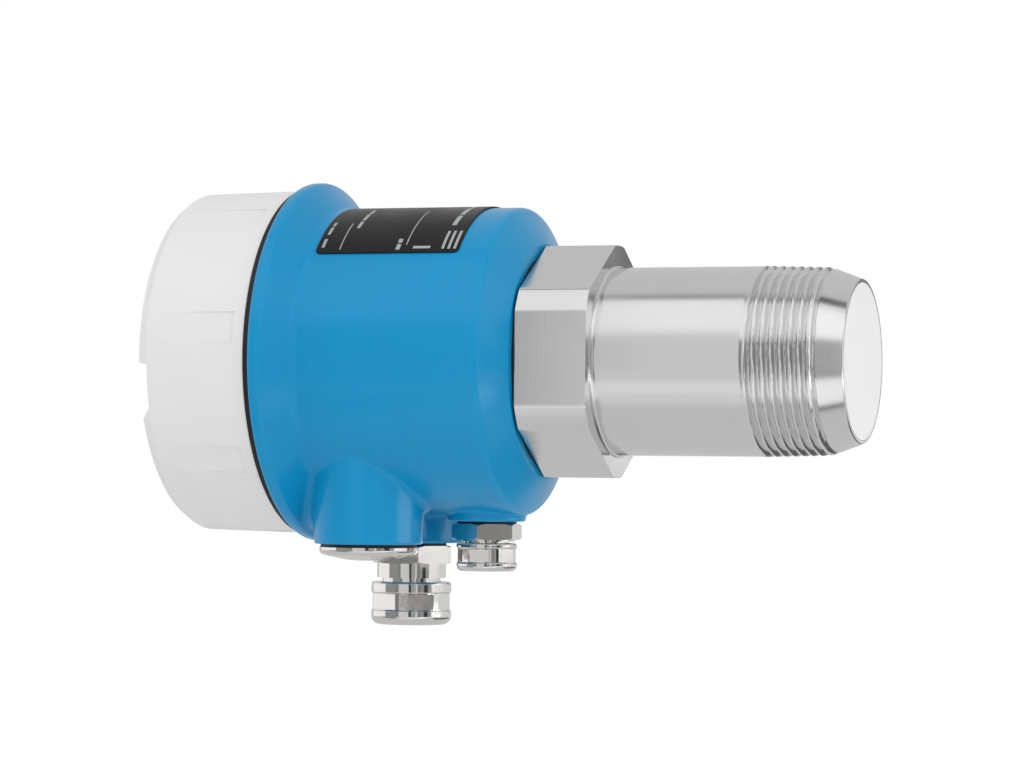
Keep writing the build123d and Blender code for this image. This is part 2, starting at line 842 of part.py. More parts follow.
def make_module():
    """Microwave module: a square can on a round flange that closes the horn's guide."""
    front = horn_back_x - module_flange_thickness
    half = module_side / 2
    can = block((module_back_x, front), (-half, half), (-half, half))
    can = fillet(can.edges().filter_by(Axis.X), module_edge_round)
    flange = tube(front, horn_back_x, module_flange_radius)
    guide = tube(horn_back_x - module_guide_depth, horn_back_x, guide_radius)
    hole = Pos(0, module_screw_circle, 0) * tube(front, horn_back_x, module_screw_radius + part_fit)
    holes = Part() + [Rot(90 * i, 0, 0) * hole for i in range(4)]
    return can + flange - guide - holes


def make_module_screws():
    """Four screws through the module's flange into the horn."""
    front = horn_back_x - module_flange_thickness
    one = screw(front, module_screw_circle, 0, module_screw_radius,
                module_flange_thickness + module_screw_length, module_screw_head_radius,
                module_screw_head_height, slot=module_screw_slot)
    return [Rot(90 * i, 0, 0) * one for i in range(4)]


def make_module_board():
    """Small square board on the module's back."""
    half = module_board_side / 2
    board = block((module_board_x, module_back_x), (-half, half), (-half, half))
    return chamfer(board.edges().filter_by(Axis.X), module_board_corner)


def make_link():
    """Straight plug that joins the main board to the module's board through the back plate."""
    return block((main_board_x + board_thickness, module_board_x), (-link_width / 2, link_width / 2),
                 (link_z - link_height / 2, link_z + link_height / 2))


def make_blind_plug():
    """Domed metal plug of the unused entry."""
    face = plug_seal_thickness
    crown = turned([
        (-plug_thread_reach, 0), (-plug_thread_reach, plug_thread_radius, plug_thread_round),
        (face, plug_thread_radius),
        (face, plug_head_radius), (face + plug_head_height - plug_dome, plug_head_radius, plug_edge_round),
        (face + plug_head_height, plug_crown_share * plug_head_radius, plug_crown_round),
        (face + plug_head_height, 0),
    ])
    return downward(boss_x, -boss_offset, boss_face_z) * crown


def make_plug_seal():
    """Flat seal under the blind plug's head."""
    return downward(boss_x, -boss_offset, boss_face_z) * tube(
        0, plug_seal_thickness, plug_seal_radius, plug_thread_radius + plug_seal_play)


@dataclass
class Gland:
    """Sizes of one cable gland. Distances run down from the face of its boss."""

    thread_radius: float
    thread_reach: float
    seal_thickness: float
    hex_flats: float
    hex_height: float
    hex_turn: float
    collar_radius: float
    collar_height: float
    nut_gap: float
    nut_length: float
    nut_radius: float
    nut_flats: float
    nut_collar: float
    nut_foot: float
    nut_round: float
    male_radius: float
    cone_length: float
    lip: float
    cable_radius: float
    seal_length: float
    clearance: float = 0.35
    pocket_wall: float = 1.5
    hex_chamfer: float = 0.9
    hex_chamfer_height: float = 0.5
    ring_margin: float = 0.4
    ring_play: float = 0.15
    body_bore_play: float = 0.8
    hole_play: float = 1.0
    insert_play: float = 0.05
    insert_round: float = 0.5
    clamp_gap: float = 0.3
    clamp_bore_play: float = 0.6
    clamp_tip: float = 0.5
    thread_relief: float = 1.2
    nut_edge_round: float = 0.7
    waist_step: float = 0.3
    waist_margin: float = 0.4

    @property
    def hex_start(self):
        """Where the spanner hexagon begins, under its sealing ring."""
        return self.seal_thickness

    @property
    def collar_end(self):
        """Lower end of the round collar."""
        return self.hex_start + self.hex_height + self.collar_height

    @property
    def nut_start(self):
        """Upper face of the cap nut."""
        return self.collar_end + self.nut_gap

    @property
    def nut_end(self):
        """Lower end of the cap nut."""
        return self.nut_start + self.nut_length

    @property
    def cone_start(self):
        """Where the nut's bore begins to close in."""
        return self.nut_end - self.lip - self.cone_length

    @property
    def male_end(self):
        """Lower end of the body's thread."""
        return self.cone_start - self.thread_relief

    @property
    def nut_bore(self):
        """Radius of the nut's bore over the body's thread."""
        return self.male_radius + self.clearance

    @property
    def hole_radius(self):
        """Radius of the cable hole in the nut."""
        return self.cable_radius + self.hole_play

    def body(self):
        """Turned body with its thread, hexagon, collar and the pocket of the rubber insert."""
        start, end = self.hex_start, self.hex_start + self.hex_height
        corner = self.hex_flats / sqrt(3)
        low, high = start + self.hex_chamfer_height, end - self.hex_chamfer_height
        turned_hex = turned([
            (start, 0), (start, corner - self.hex_chamfer), (low, corner), (high, corner),
            (end, corner - self.hex_chamfer), (end, 0),
        ])
        shape = hexagon(self.hex_flats, start, end, self.hex_turn) & turned_hex
        shape += tube(-self.thread_reach, start, self.thread_radius)
        shape += tube(end, self.collar_end, self.collar_radius)
        shape += tube(self.collar_end, self.male_end, self.male_radius)
        shape -= tube(-self.thread_reach, self.male_end, self.cable_radius + self.body_bore_play)
        pocket = self.male_radius - self.pocket_wall
        return shape - tube(self.male_end - self.seal_length, self.male_end, pocket)

    def ring(self):
        """Sealing ring between the boss and the hexagon."""
        outer = self.hex_flats / 2 - self.ring_margin
        return tube(0, self.seal_thickness, outer, self.thread_radius + self.ring_play)

    def insert(self):
        """Rubber insert that grips the cable."""
        outer = self.male_radius - self.pocket_wall - self.insert_play
        start, end = self.male_end - self.seal_length, self.male_end
        return turned([
            (start, self.cable_radius), (start, outer), (end, outer, self.insert_round),
            (end, self.cable_radius),
        ])

    def clamp(self):
        """Ring with a cone that the nut presses on the rubber insert."""
        slope = (self.nut_bore - self.hole_radius) / self.cone_length
        shift = self.clearance * hypot(1, slope) / slope
        outer = self.nut_bore - self.clearance
        tip = self.hole_radius + self.clamp_tip
        inner = self.cable_radius + self.clamp_bore_play
        start = self.male_end + self.clamp_gap
        shoulder = self.cone_start + self.clearance / slope - shift
        point = self.cone_start + (self.nut_bore - tip) / slope - shift
        return turned([(start, inner), (start, outer), (shoulder, outer), (point, tip), (point, inner)])

    def nut(self):
        """Cap nut: round collar, hexagonal waist and rounded end with the cable hole."""
        start, end = self.nut_start, self.nut_end
        waist_start, waist_end = start + self.nut_collar, end - self.nut_foot
        radius, step = self.nut_radius, self.waist_step
        round_body = turned([
            (start, 0), (start, radius, self.nut_edge_round), (waist_start, radius, step),
            (waist_start + step, radius - step), (waist_end - step, radius - step),
            (waist_end, radius, step), (end, radius, self.nut_round), (end, 0),
        ])
        flat_start, flat_end = waist_start + self.waist_margin, waist_end - self.waist_margin
        flats = hexagon(self.nut_flats, flat_start, flat_end, self.hex_turn + 30)
        ends = tube(start, flat_start, radius + overlap) + tube(flat_end, end, radius + overlap)
        shape = round_body & (flats + ends)
        return shape - turned([
            (start, 0), (start, self.nut_bore), (self.cone_start, self.nut_bore),
            (end - self.lip, self.hole_radius), (end, self.hole_radius), (end, 0),
        ])


cable_gland = Gland(
    thread_radius=8.0, thread_reach=9.0, seal_thickness=0.8, hex_flats=19.0, hex_height=4.6, hex_turn=30.0,
    collar_radius=9.0, collar_height=3.8, nut_gap=1.0, nut_length=11.2, nut_radius=10.45, nut_flats=18.2,
    nut_collar=2.8, nut_foot=3.6, nut_round=2.2, male_radius=7.6, cone_length=3.0, lip=1.2,
    cable_radius=4.0, seal_length=5.6,
)
vent_gland = Gland(
    thread_radius=6.0, thread_reach=5.0, seal_thickness=0.6, hex_flats=16.0, hex_height=4.1, hex_turn=-4.0,
    collar_radius=7.2, collar_height=0.4, nut_gap=0.4, nut_length=7.2, nut_radius=7.75, nut_flats=14.0,
    nut_collar=1.2, nut_foot=2.0, nut_round=1.4, male_radius=5.6, cone_length=2.0, lip=0.9,
    cable_radius=2.6, seal_length=3.0,
)


def gland_nodes(name, gland, place):
    """The five pieces of one gland, each under its own name."""
    return {
        f"{name}_body": place * gland.body(),
        f"{name}_ring": place * gland.ring(),
        f"{name}_insert": place * gland.insert(),
        f"{name}_clamp": place * gland.clamp(),
        f"{name}_nut": place * gland.nut(),
    }


nodes = {
    "housing": make_housing(),
    "cover": make_cover(),
    "cover_seal": tube(cover_open_x, flange_x, gasket_radius, neck_radius + gasket_play),
    "name_plate": make_name_plate(),
    "process_connector": make_connector(),
    "sensor_seal": tube(housing_end_x, ring_back_x, seal_ring_radius, spigot_radius + part_fit),
    "lock_nut": make_lock_nut(),
    "horn_antenna": make_horn(),
    "process_window": make_window(),
    "window_seal": make_window_seal(),
    "microwave_module": make_module(),
    "module_screws": make_module_screws(),
    "module_board": make_module_board(),
    "link_plug": make_link(),
    "insert_case": make_insert_case(),
    "insert_back_plate": make_back_plate(),
    "insert_screws": make_case_screws(),
    "control_board": make_board(control_board_x),
    "main_board": make_board(main_board_x),
    "board_pillars": make_pillars(),
    "relay": make_relay(),
    "transformer": make_transformer(),
    "capacitors": make_capacitors(),
    "switch_bases": make_switch_bases(),
    "sensitivity_knob": make_knob(knob_places()[0]),
    "delay_knob": make_knob(knob_places()[1]),
    "slide_switch_base": make_dip_base(),
    "ready_lamp": make_lamp(lamp_places()[0]),
    "signal_lamp": make_lamp(lamp_places()[1]),
    "terminal_block": make_terminal_block(),
    "terminal_screws": make_terminal_screws(),
    "earth_clamp_plate": make_earth_plate(),
    "earth_screw": make_earth_screw(),
    "blind_plug": make_blind_plug(),
    "blind_plug_seal": make_plug_seal(),
}
for i in range(dip_count):
    nodes[f"slide_switch_{i + 1}"] = make_slider(i)
nodes |= gland_nodes("cable_gland", cable_gland, downward(boss_x, boss_offset, boss_face_z))
nodes |= gland_nodes("small_gland", vent_gland, downward(vent_x, 0, vent_face_z))

os.makedirs("parts", exist_ok=True)
for name, shape in nodes.items():
    solids = shape if isinstance(shape, list) else [shape]
    export_step(Compound(children=[s for piece in solids for s in piece.solids()]), f"parts/{name}.step")
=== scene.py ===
import enum
import json
import logging
from dataclasses import dataclass
from math import cos, pi, radians, sin, tan

import bpy
import numpy as np
from mathutils import Matrix, Vector


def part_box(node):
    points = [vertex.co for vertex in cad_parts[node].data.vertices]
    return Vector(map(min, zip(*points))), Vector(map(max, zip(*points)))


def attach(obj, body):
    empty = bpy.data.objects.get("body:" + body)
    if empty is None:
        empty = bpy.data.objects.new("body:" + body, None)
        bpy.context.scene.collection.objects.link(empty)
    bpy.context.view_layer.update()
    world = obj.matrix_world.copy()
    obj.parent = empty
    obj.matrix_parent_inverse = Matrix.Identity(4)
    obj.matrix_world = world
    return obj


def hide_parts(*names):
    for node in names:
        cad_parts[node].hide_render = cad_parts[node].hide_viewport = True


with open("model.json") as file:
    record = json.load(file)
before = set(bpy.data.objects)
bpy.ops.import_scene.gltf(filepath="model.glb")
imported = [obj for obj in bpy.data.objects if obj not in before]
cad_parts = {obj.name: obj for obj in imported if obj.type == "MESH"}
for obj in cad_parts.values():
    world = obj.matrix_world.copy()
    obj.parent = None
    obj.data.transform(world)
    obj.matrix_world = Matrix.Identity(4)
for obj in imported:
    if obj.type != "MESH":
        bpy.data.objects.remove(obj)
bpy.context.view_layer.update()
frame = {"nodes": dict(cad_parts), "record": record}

log = logging.getLogger("receiver")

# Lengths are in millimetres in this file, in the CAD model's frame. Times MM they are Blender's metres.
MM = 0.001
# Points of an outline that lie nearer than this are one point.
SAME_POINT = 1e-4
# Slack for comparing places that were worked out in different ways.
SLACK = 1e-6
WHITE = (1, 1, 1, 1)


# Outlines and surfaces.
def box_mm(node: str) -> tuple[np.ndarray, np.ndarray]:
    """Lowest and highest corner of a CAD node in millimetres."""
    low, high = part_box(node)
    return np.array(low) / MM, np.array(high) / MM


def rounded_outline(corners: list[tuple[float, ...]], steps: int = 6) -> np.ndarray:
    """Closed outline through corners, each cut by an arc that touches both of its sides.

    An arc's points are the turn from its first radius vector to its last, at equal angles.

    Args:
        corners: (a, b) or (a, b, radius) for each corner, in order.
        steps: Number of chords in each arc.

    Returns:
        Array of shape (points, 2).
    """
    places = np.array([corner[:2] for corner in corners], dtype=float)
    parts = []
    for i, corner in enumerate(corners):
        radius = corner[2] if len(corner) > 2 else 0.0
        if not radius:
            parts.append(places[i : i + 1])
            continue
        back = places[i - 1] - places[i]
        ahead = places[(i + 1) % len(places)] - places[i]
        back, ahead = back / np.linalg.norm(back), ahead / np.linalg.norm(ahead)
        half = np.arccos(np.clip(back @ ahead, -1, 1)) / 2
        centre = places[i] + (back + ahead) / np.linalg.norm(back + ahead) * radius / sin(half)
        first = places[i] + back * radius / tan(half) - centre
        last = places[i] + ahead * radius / tan(half) - centre
        turn = pi - 2 * half
        share = np.linspace(0, 1, steps + 1)[:, None]
        swung = (np.sin((1 - share) * turn) * first + np.sin(share * turn) * last) / sin(turn)
        parts.append(centre + swung)
    return np.concatenate(parts)


def lengths_along(outline: np.ndarray) -> tuple[np.ndarray, np.ndarray]:
    """Repeats a closed outline's first point at its end and measures how far along it each point lies.

    Args:
        outline: Array of shape (points, 2).

    Returns:
        The outline with one point more, and the distance of each of its points from the first.
    """
    loop = np.vstack([outline, outline[:1]])
    sides = np.linalg.norm(np.diff(loop, axis=0), axis=1)
    return loop, np.concatenate([[0], np.cumsum(sides)])


def at_lengths(loop: np.ndarray, run: np.ndarray, places: np.ndarray) -> np.ndarray:
    """Points that lie at given distances along a closed outline."""
    return np.stack([np.interp(places, run, loop[:, k]) for k in (0, 1)], axis=1)


def refined(outline: np.ndarray, start: float, end: float, spacing: float) -> np.ndarray:
    """Adds evenly spaced points to a closed outline where its first coordinate lies in a span.

    Args:
        outline: Array of shape (points, 2).
        start: Lower end of the span.
        end: Upper end of the span.
        spacing: Distance between the added points.

    Returns:
        The outline with the added points in their places.
    """
    loop, run = lengths_along(outline)
    extra = np.arange(0, run[-1], spacing)
    place = np.interp(extra, run, loop[:, 0])
    merged = np.unique(np.concatenate([run[:-1], extra[(place > start) & (place < end)]]))
    merged = merged[np.concatenate([[True], np.diff(merged) > SAME_POINT])]
    return at_lengths(loop, run, merged)


def supported(outline: np.ndarray, gap: float) -> np.ndarray:
    """Adds a point near both ends of every side longer than four gaps.

    Smooth shading then bends only at the corners.

    Args:
        outline: Closed outline of shape (points, 2).
        gap: Distance of the added points from the side's ends.

    Returns:
        The outline with the added points in their places.
    """
    loop, run = lengths_along(outline)
    long_side = np.diff(run) > 4 * gap
    places = np.concatenate([run[:-1], run[:-1][long_side] + gap, run[1:][long_side] - gap])
    return at_lengths(loop, run, np.sort(places))


def around_x(x: np.ndarray, radius: np.ndarray, angle: np.ndarray) -> np.ndarray:
    """Grid of points on a surface about the X axis: (x, radius cos angle, radius sin angle).

    The three are broadcast together. A quarter turn is the top, and more than that faces the viewer.

    Args:
        x: Places along the axis.
        radius: Distances from the axis.
        angle: Angles about it.

    Returns:
        Grid of shape (rows, columns, 3).
    """
    x, radius, angle = np.broadcast_arrays(x, radius, angle)
    return np.stack([x, radius * np.cos(angle), radius * np.sin(angle)], axis=-1)


def hexagon_radius(angles: np.ndarray, flats: float) -> np.ndarray:
    """Distance from a hexagon's middle to its edge.

    It is half the flats over the cosine of the angle from the nearest flat's middle. One flat faces angle 0.

    Args:
        angles: Angles about the middle.
        flats: Distance across flats.

    Returns:
        The distance at each angle.
    """
    off_middle = np.mod(angles + pi / 6, pi / 3) - pi / 6
    return flats / 2 / np.cos(off_middle)


def smooth_step(value: np.ndarray, low: float, high: float) -> np.ndarray:
    """0 below low, 1 above high, and 3t squared minus 2t cubed in between."""
    share = np.clip((value - low) / (high - low), 0, 1)
    return share * share * (3 - 2 * share)


def grid_faces(rows: int, columns: int, wrap_rows: bool) -> np.ndarray:
    """Quads of a grid whose columns close into rings.

    Args:
        rows: Number of rows.
        columns: Number of columns.
        wrap_rows: Whether the last row joins the first.

    Returns:
        Array of shape (quads, 4) of point numbers.
    """
    index = np.arange(rows * columns).reshape(rows, columns)
    next_row = np.roll(index, -1, axis=0)
    if not wrap_rows:
        index, next_row = index[:-1], next_row[:-1]
    quads = np.stack([index, next_row, np.roll(next_row, -1, axis=1), np.roll(index, -1, axis=1)], axis=-1)
    return quads.reshape(-1, 4)


def signed_volume(points: np.ndarray, quads: np.ndarray) -> float:
    """Volume inside closed quads: a sixth of the sum of the triple products of each triangle's corners.

    Args:
        points: Array of shape (points, 3).
        quads: Array of shape (quads, 4) of point numbers.

    Returns:
        The volume, positive where the quads point outwards.
    """
    a, b, c, d = (points[quads[:, k]] for k in range(4))
    return float(np.sum(a * np.cross(b, c)) + np.sum(a * np.cross(c, d))) / 6


# Materials.
def linear(colour: str) -> tuple[float, float, float, float]:
    """Linear RGBA of an sRGB colour such as "#1f8fc2", by the curve of the sRGB standard."""
    parts = [int(colour[i : i + 2], 16) / 255 for i in (1, 3, 5)]
    return (*(c / 12.92 if c <= 0.04045 else ((c + 0.055) / 1.055) ** 2.4 for c in parts), 1.0)


def add_node(tree: bpy.types.NodeTree, kind: str, inputs: dict | None = None,
             **settings: object) -> bpy.types.Node:
    """Adds a node, sets its settings, and sets or links its inputs.

    Args:
        tree: Node tree that gets the node.
        kind: Blender's name for the node.
        inputs: Socket name or number to a value, or to another node's output.
        settings: Properties of the node.

    Returns:
        The new node.
    """
    node = tree.nodes.new(kind)
    for name, value in settings.items():
        setattr(node, name, value)
    for socket, value in (inputs or {}).items():
        if isinstance(value, bpy.types.NodeSocket):
            tree.links.new(value, node.inputs[socket])
        else:
            node.inputs[socket].default_value = value
    return node


def blank_material(name: str) -> tuple[bpy.types.Material, bpy.types.NodeTree]:
    """Adds a material whose node tree is empty.

    Args:
        name: The material's name.

    Returns:
        The material and its node tree.
    """
    made = bpy.data.materials.new(name)
    made.use_nodes = True
    made.node_tree.nodes.clear()
    return made, made.node_tree


def seen_directly(tree: bpy.types.NodeTree) -> bpy.types.NodeSocket:
    """Tells what the camera sees, also by way of metal or glass, from what only lights the object.

    Args:
        tree: Node tree of the floor or the world.

    Returns:
        The socket that is 1 for such rays and 0 for all others.
    """
    path = add_node(tree, "ShaderNodeLightPath")
    seen = path.outputs["Is Camera Ray"]
    for kind in ("Is Glossy Ray", "Is Transmission Ray"):
        either = add_node(tree, "ShaderNodeMath", {0: seen, 1: path.outputs[kind]}, operation="MAXIMUM")
        seen = either.outputs[0]
    return seen


class Relief(enum.Enum):
    """How a surface was made, which decides the pattern of its fine relief."""

    SPRAYED = "soft dimples of a baked coat"
    MOULDED = "fine spark-eroded grain"
    TURNED = "grooves round the sensor axis"
    MILLED = "straight cutter marks along the sensor axis"
    PLATED = "nearly flat, with faint waves"
    WOVEN = "glass cloth under solder mask"


# Grains of the pattern in one grain's length along X, Y and Z. Grooves and cutter marks are long one way.
STRETCH: dict[Relief, tuple[float, ...]] = {
    Relief.TURNED: (1.0, 0.02, 0.02), Relief.MILLED: (0.03, 1.0, 1.0)}
EVEN = (1.0, 1.0, 1.0)
# Octaves of the pattern. What was cut or spark-eroded is rough at several sizes, a coat only at one.
DETAIL: dict[Relief, float] = {Relief.MOULDED: 3.0, Relief.TURNED: 2.0, Relief.MILLED: 3.0}
# Part of the noise's range over which the tint and the roughness change.
TINT_SPAN = (0.35, 0.65)
ROUGHNESS_SPAN = (0.3, 0.7)
# Light that sinks into a plastic goes a little deeper at the red end.
LIGHT_DEPTH = (1.0, 0.9, 0.8)


@dataclass(frozen=True)
class Finish:
    """One finish of the part: what it is made of and how its surface was made.

    Grain, depth and patch are the size and height of the relief and the size of its soft patches of tint.
    """

    name: str
    colour: str
    roughness: float
    relief: Relief
    grain: float
    depth: float
    metallic: float = 0.0
    tint: str = ""
    tint_share: float = 0.3
    patch: float = 12.0
    roughness_spread: float = 0.05
    anisotropy: float = 0.0
    specular: float = 0.5
    subsurface: float = 0.0

    def pattern(self, tree: bpy.types.NodeTree, place: bpy.types.NodeSocket) -> bpy.types.NodeSocket:
        """Height of the fine relief, from 0 to 1, for the way the surface was made.

        Args:
            tree: The material's node tree.
            place: Object coordinates in grains of the pattern.

        Returns:
            The socket that gives the height.
        """
        stretched = add_node(tree, "ShaderNodeVectorMath", {0: place, 1: STRETCH.get(self.relief, EVEN)},
                             operation="MULTIPLY")
        noise = add_node(tree, "ShaderNodeTexNoise", {
            "Vector": stretched.outputs[0], "Scale": 1.0, "Detail": DETAIL.get(self.relief, 1.0),
            "Roughness": 0.55})
        return noise.outputs["Fac"]

    def material(self) -> bpy.types.Material:
        """Builds the material: colour with soft patches, roughness that follows them, and fine relief.

        Returns:
            The new material.
        """
        made, tree = blank_material(self.name)
        here = add_node(tree, "ShaderNodeTexCoord").outputs["Object"]
        grains = add_node(tree, "ShaderNodeVectorMath", {0: here, "Scale": 1 / (self.grain * MM)},
                          operation="SCALE")
        patches = add_node(tree, "ShaderNodeTexNoise", {
            "Vector": here, "Scale": 1 / (self.patch * MM), "Detail": 2.0}).outputs["Fac"]
        share = add_node(tree, "ShaderNodeMapRange", {
            "Value": patches, "From Min": TINT_SPAN[0], "From Max": TINT_SPAN[1], "To Max": self.tint_share})
        colour = add_node(tree, "ShaderNodeMix", {
            0: share.outputs[0], 6: linear(self.colour), 7: linear(self.tint or self.colour)},
            data_type="RGBA")
        rough = add_node(tree, "ShaderNodeMapRange", {
            "Value": patches, "From Min": ROUGHNESS_SPAN[0], "From Max": ROUGHNESS_SPAN[1],
            "To Min": self.roughness - self.roughness_spread,
            "To Max": self.roughness + self.roughness_spread})
        bump = add_node(tree, "ShaderNodeBump", {
            "Height": self.pattern(tree, grains.outputs[0]), "Distance": self.depth * MM})
        shader = add_node(tree, "ShaderNodeBsdfPrincipled", {
            "Base Color": colour.outputs[2], "Roughness": rough.outputs[0], "Metallic": self.metallic,
            "Anisotropic": self.anisotropy, "Specular IOR Level": self.specular,
            "Subsurface Weight": self.subsurface, "Subsurface Radius": LIGHT_DEPTH, "Subsurface Scale": MM,
            "Normal": bump.outputs[0]})
        if self.anisotropy:
            tangent = add_node(tree, "ShaderNodeTangent", direction_type="RADIAL", axis="X")
            tree.links.new(tangent.outputs[0], shader.inputs["Tangent"])
        add_node(tree, "ShaderNodeOutputMaterial", {"Surface": shader.outputs[0]})
        return made


# Each finish is keyed by the record's material slot that it dresses. A spark-eroded grain is really near
# 0.1 mm, and a turned or milled groove near 0.15 mm. They are drawn two to seven times as coarse, because
# the real ones are too fine to show in the render.
FINISHES: dict[str, Finish] = {
    # Polyester powder on die-cast aluminium: even semi-gloss blue with a faint orange peel.
    "housing_paint": Finish("powder_coated_die_cast_aluminium", "#0c8fc4", 0.23, Relief.SPRAYED, 2.4, 0.004,
                            tint="#0a8bc0", patch=18.0, roughness_spread=0.02, specular=0.28),
    # Glass-filled polyester moulding: satin off-white with a fine spark-eroded grain.
    "cover_plastic": Finish("moulded_polyester_cover", "#e4e4e3", 0.46, Relief.MOULDED, 0.7, 0.012,
                            tint="#dededd", patch=22.0),
    # Moulded nitrile rubber: near black, dull, with a soft sheen.
    "seal_rubber": Finish("nitrile_rubber", "#121417", 0.55, Relief.MOULDED, 0.5, 0.01, tint="#1b1d20"),
    # Screen-printed polyester foil: satin black that reads slightly warm.
    "plate_print": Finish("printed_polyester_foil", "#191a1b", 0.34, Relief.SPRAYED, 0.9, 0.004,
                          tint="#1d1e1f", patch=9.0, specular=0.19),
    # Stainless steel turned on a lathe: bright bands with soft edges along the tube.
    "connector_steel": Finish("turned_stainless_steel", "#e4e4e4", 0.17, Relief.TURNED, 0.30, 0.004,
                              metallic=1.0, tint="#dcdcdc", patch=30.0, roughness_spread=0.03,
                              anisotropy=0.45),
    # Plain steel turned on a lathe: greyer and duller than the connector.
    "nut_steel": Finish("turned_steel", "#bdbab4", 0.35, Relief.TURNED, 0.5, 0.006, metallic=1.0),
    # Aluminium turned for the antenna: paler and softer than steel.
    "horn_aluminium": Finish("turned_aluminium", "#dcdcdc", 0.28, Relief.TURNED, 0.4, 0.005, metallic=1.0),
    # Turned fluoropolymer: silky white, light sinks in a little.
    "window_plastic": Finish("turned_fluoropolymer", "#f4f4f3", 0.42, Relief.TURNED, 0.5, 0.004,
                             tint="#f0f0ef", subsurface=0.15),
    # Aluminium milled from the block: cool grey with straight, slightly streaky highlights.
    "module_can": Finish("milled_aluminium", "#c4c6c8", 0.32, Relief.MILLED, 0.4, 0.006, metallic=1.0),
    # Green solder mask over glass cloth: glossy deep green, faintly uneven from the cloth below.
    "board_laminate": Finish("solder_masked_laminate", "#0d5c33", 0.35, Relief.WOVEN, 0.8, 0.01,
                             tint="#0a4c2a", patch=4.0),
    # Zinc plated and clear passivated steel: bright and slightly bluish.
    "screw_steel": Finish("zinc_plated_steel", "#c9ccd0", 0.25, Relief.PLATED, 1.0, 0.004, metallic=1.0),
    # Moulded polycarbonate: matt charcoal that keeps the depth of the insert's pockets readable.
    "insert_plastic": Finish("moulded_polycarbonate_case", "#3a3c40", 0.45, Relief.MOULDED, 0.6, 0.012,
                             tint="#34363a"),
    # Brass turned from the bar: warm yellow with fine rings.
    "pillar_brass": Finish("turned_brass", "#c9a055", 0.28, Relief.TURNED, 0.4, 0.005, metallic=1.0),
    # Moulded relay case: dark blue and fairly glossy.
    "relay_plastic": Finish("moulded_relay_case", "#1a2850", 0.3, Relief.MOULDED, 0.6, 0.006,
                            tint="#162244"),
    # Stacked steel sheets under varnish: brownish grey with the sheets' edges as fine lines.
    "transformer_core": Finish("varnished_laminations", "#454240", 0.4, Relief.MILLED, 0.5, 0.03,
                               tint="#3a3735", metallic=0.3),
    # Aluminium can in a shrunk sleeve: smooth slate blue with faint waves where the sleeve shrank.
    "capacitor_can": Finish("sleeved_aluminium_can", "#31405c", 0.3, Relief.PLATED, 1.2, 0.006),
    # Moulded switch body: neutral black and matt, so that the white sliders stand out.
    "switch_plastic": Finish("moulded_switch_body", "#1c1c1d", 0.42, Relief.MOULDED, 0.5, 0.01),
    # Moulded acetal: warm signal yellow with the waxy sheen of that plastic.
    "knob_plastic": Finish("moulded_acetal_knob", "#dcb32e", 0.35, Relief.MOULDED, 0.5, 0.008,
                           tint="#d2a926"),
    # Moulded acetal, uncoloured: milky white, brighter than the cover.
    "slider_plastic": Finish("moulded_acetal_slider", "#ecece6", 0.35, Relief.MOULDED, 0.4, 0.006),
    # Tinted clear resin: glossy, with the green held inside the lens.
    "green_lamp": Finish("tinted_clear_green_lamp", "#35c458", 0.15, Relief.PLATED, 1.5, 0.004,
                         subsurface=0.4),
    # Tinted clear resin: glossy, with the yellow held inside the lens.
    "yellow_lamp": Finish("tinted_clear_yellow_lamp", "#f0b62a", 0.15, Relief.PLATED, 1.5, 0.004,
                          subsurface=0.4),
    # Moulded polyamide: the dusty green of terminal blocks.
    "terminal_plastic": Finish("moulded_polyamide_terminal", "#5c8c5c", 0.42, Relief.MOULDED, 0.5, 0.01,
                               tint="#547f54"),
    # Nickel on brass, plated bright: almost a mirror, a touch warm.
    "nickel_plate": Finish("bright_nickel_on_brass", "#e6e4e1", 0.08, Relief.PLATED, 1.6, 0.003,
                           metallic=1.0, tint="#dfddda", patch=6.0, roughness_spread=0.02),
    # Moulded polyamide, uncoloured: creamy and satin.
    "clamp_nylon": Finish("moulded_polyamide_clamp", "#e1dfd2", 0.4, Relief.MOULDED, 0.5, 0.008),
    # Screen ink on the name plate: flat, slightly grey white.
    "plate_ink": Finish("screen_ink", "#a3a6a7", 0.5, Relief.SPRAYED, 0.6, 0.002),
}


class Wardrobe:
    """Builds each finish's material once and hands it out by slot."""

    def __init__(self) -> None:
        """Starts with no material built."""
        self.built: dict[str, bpy.types.Material] = {}

    def get(self, slot: str) -> bpy.types.Material:
        """The material of a slot, built when it is first asked for.

        Args:
            slot: The record's material slot, or the printed ink.

        Returns:
            The material.
        """
        if slot not in self.built:
            self.built[slot] = FINISHES[slot].material()
        return self.built[slot]

    def dress_cad(self) -> None:
        """Gives every CAD node the finish of its slot in the record."""
        for part in frame["record"]["subparts"]:
            for place in frame["nodes"][part["node"]].material_slots:
                place.material = self.get(part["material_slot"])
            log.info("dressed %s in %s", part["node"], part["material_slot"])


wardrobe = Wardrobe()


